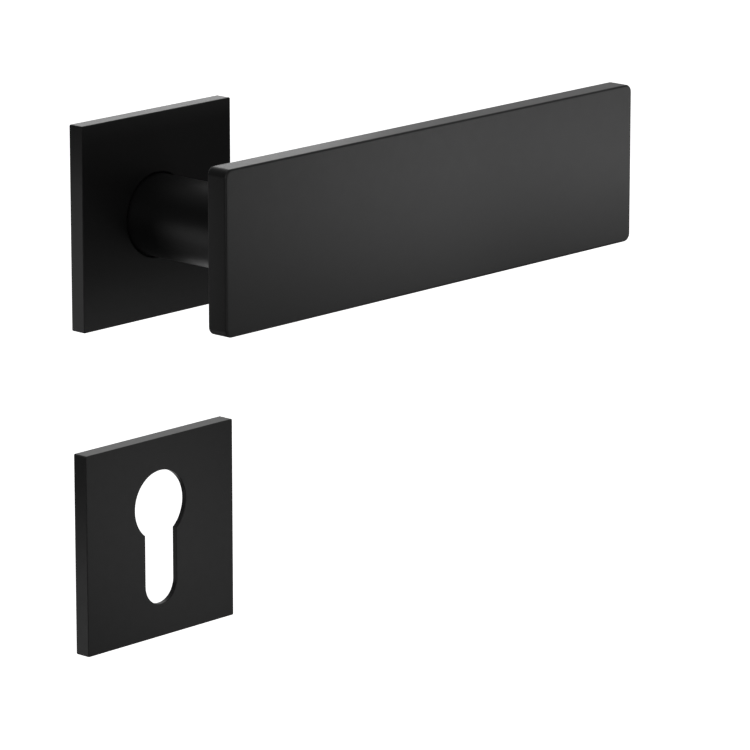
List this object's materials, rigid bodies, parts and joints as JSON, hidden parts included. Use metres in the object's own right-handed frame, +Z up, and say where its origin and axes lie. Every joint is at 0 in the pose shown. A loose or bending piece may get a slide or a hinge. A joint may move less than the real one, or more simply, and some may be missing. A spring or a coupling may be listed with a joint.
{
  "type": "door lever handle",
  "caption": "Flat rectangular door lever on a round neck and a thin square rose, with a matching square escutcheon for a euro profile cylinder.",
  "frame": {"origin": "on the door's face, at the axis of the spindle", "axes": "+X right along the door and the lever, +Y into the door along the spindle, +Z up"},
  "size_m": [0.149, 0.0695, 0.1301],
  "materials": {
    "black_coat": "satin black coating",
    "zinc_casting": "plain die casting",
    "plain_steel": "zinc plated",
    "spring_steel": "dark spring steel",
    "nylon": "black moulded nylon"
  },
  "bodies": {
    "fixed_set": {"rose_cover": "black_coat", "rose_plate": "zinc_casting", "bearing_bush": "nylon", "return_spring": "spring_steel", "housing_lid": "plain_steel", "rose_clip_left": "spring_steel", "rose_clip_right": "spring_steel", "rose_screw_upper": "plain_steel", "rose_screw_lower": "plain_steel", "lid_screw_upper": "plain_steel", "lid_screw_lower": "plain_steel", "escutcheon_cover": "black_coat", "escutcheon_plate": "zinc_casting", "escutcheon_clip_left": "spring_steel", "escutcheon_clip_right": "spring_steel", "escutcheon_screw_upper": "plain_steel", "escutcheon_screw_lower": "plain_steel"},
    "lever": {"lever_plate": "black_coat", "neck": "black_coat", "grub_screw": "plain_steel", "spindle": "plain_steel", "spring_driver": "zinc_casting", "thrust_washer": "plain_steel", "retaining_ring": "spring_steel"}
  },
  "joints": [
    {"name": "lever_turn", "type": "hinge", "parent": "fixed_set", "child": "lever", "pos_m": [0, 0, 0], "axis": [0, 1, 0], "range_deg": [0, 40], "stiffness_Nm_per_rad": 0.6, "springref_deg": -45.84, "deforming": ["return_spring"]}
  ]
}
